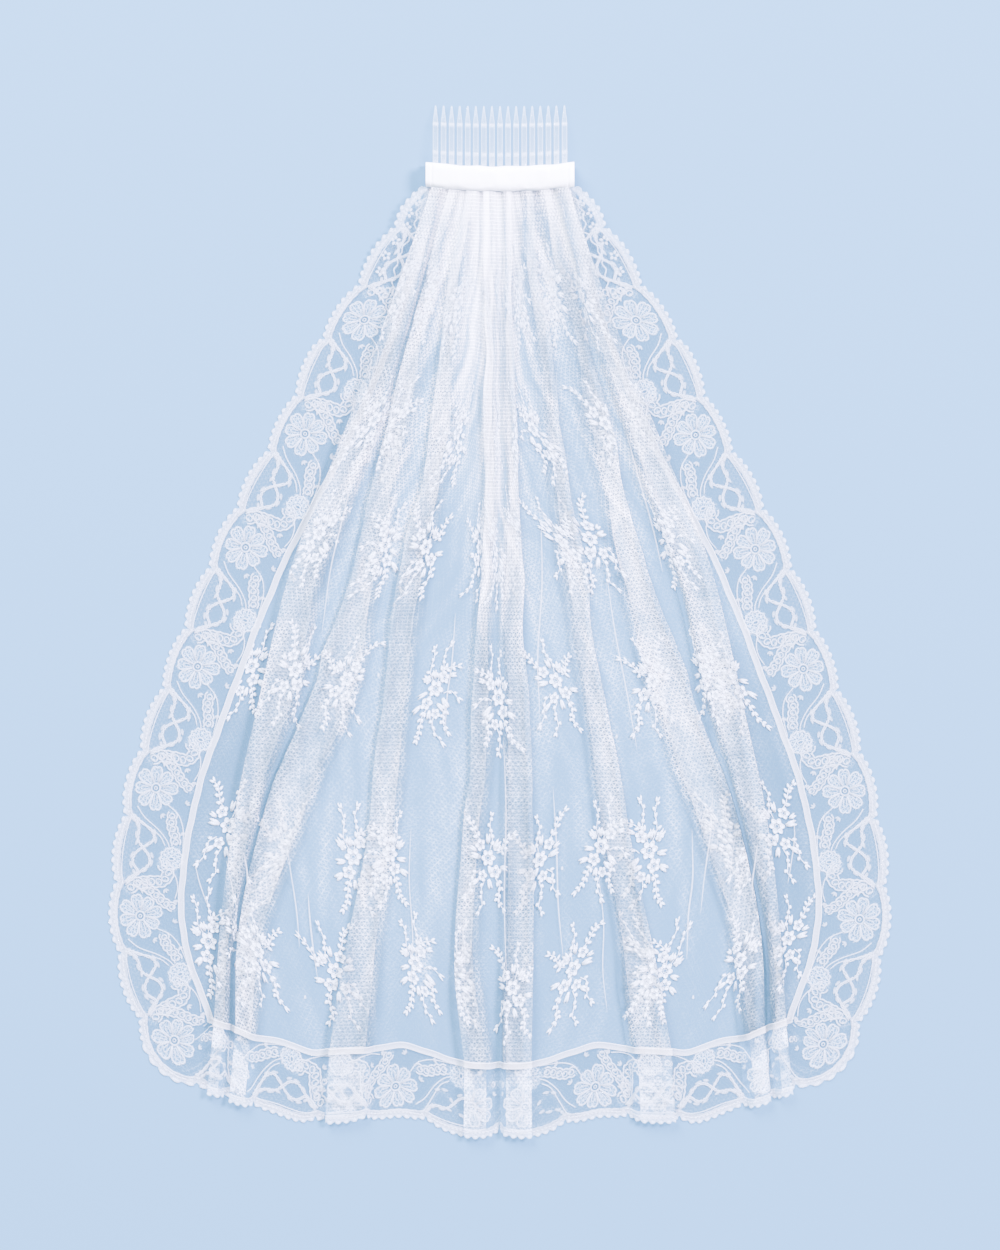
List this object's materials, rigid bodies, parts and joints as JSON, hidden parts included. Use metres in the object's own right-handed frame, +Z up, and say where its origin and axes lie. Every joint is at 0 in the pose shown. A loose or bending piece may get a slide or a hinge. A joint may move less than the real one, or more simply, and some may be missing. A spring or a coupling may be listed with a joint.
{
  "type": "bridal veil with comb",
  "caption": "Short lace-edged bridal veil laid flat: gathered net on a padded header band with a clear comb, tape over the seam and a scalloped lace edging.",
  "frame": {"origin": "bottom centre of the veil's box, on the surface it lies on", "axes": "+Y along the veil from the hem to the comb, +X across it to the right as seen from above, +Z up"},
  "size_m": [0.4544, 0.6016, 0.0146],
  "materials": {
    "net": "fine soft net, sheer",
    "lace": "embroidered lace, matt white",
    "tape": "narrow woven tape",
    "comb": "clear polished plastic",
    "band": "soft satin ribbon, padded"
  },
  "bodies": {
    "root": {"net_panel": "net", "lace_edging": "lace", "edge_tape": "tape", "comb": "comb", "header_band": "band"}
  },
  "joints": []
}
